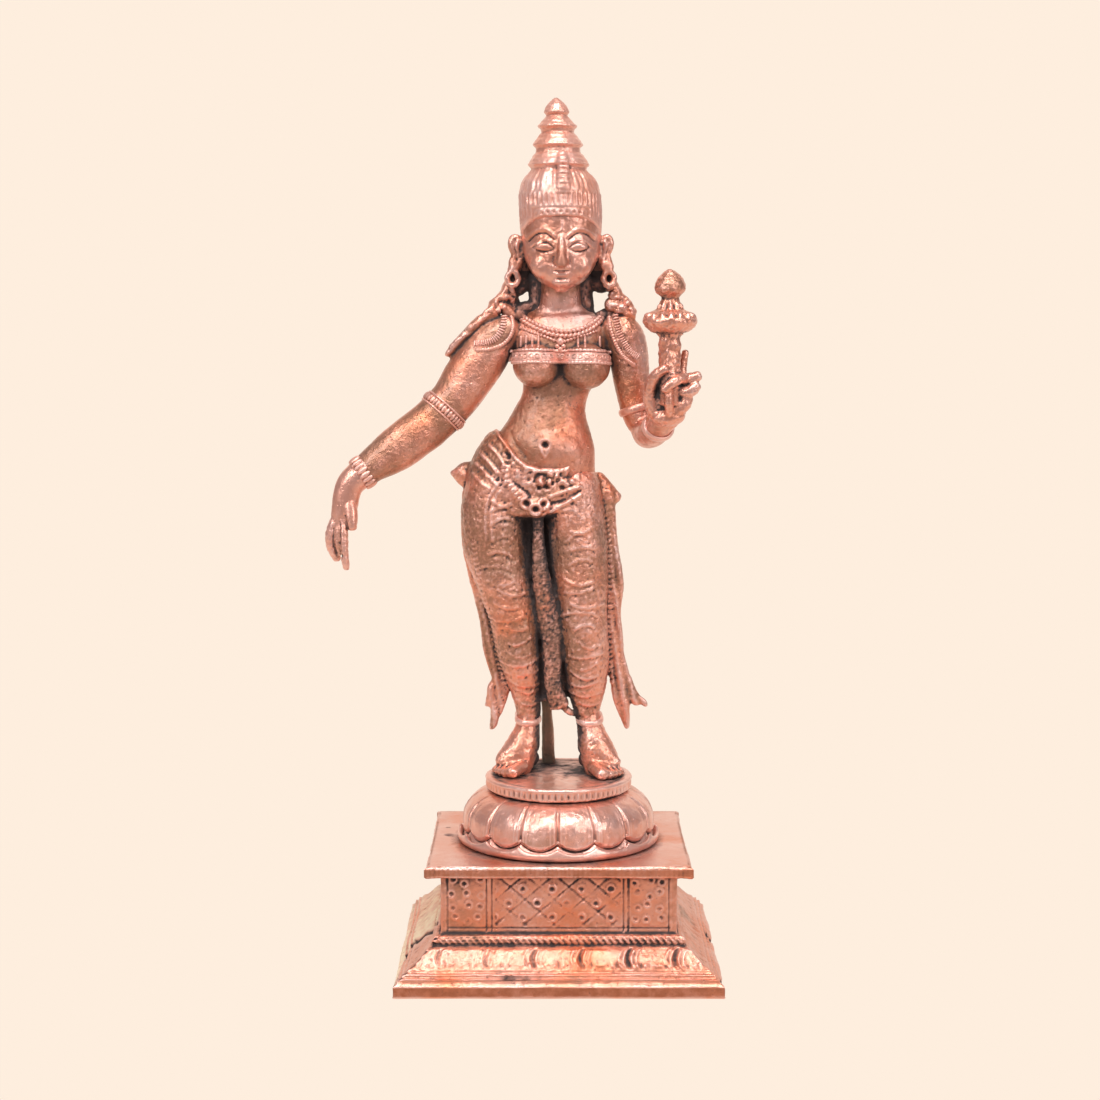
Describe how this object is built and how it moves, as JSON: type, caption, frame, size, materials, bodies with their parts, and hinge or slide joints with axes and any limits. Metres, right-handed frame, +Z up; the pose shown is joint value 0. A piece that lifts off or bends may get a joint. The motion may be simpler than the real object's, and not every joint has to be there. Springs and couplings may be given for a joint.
{
  "type": "standing goddess figure",
  "caption": "Small cast copper goddess in a triple-bend pose on a round lotus seat, one arm hanging out and one hand holding a lotus, on a moulded oblong plinth.",
  "frame": {"origin": "centre of the plinth's underside", "axes": "+Z up, the figure faces -Y, its right arm hangs towards -X and its left hand with the lotus is towards +X"},
  "size_m": [0.0909, 0.064, 0.2],
  "materials": {
    "copper": "bright rose copper with brown patches and black grime in the hollows",
    "worn_copper": "bright copper, matte brown on the upright edges, pale yellow patina on one flank"
  },
  "bodies": {
    "root": {"goddess_on_lotus_seat": "copper", "plinth": "worn_copper"}
  },
  "joints": []
}
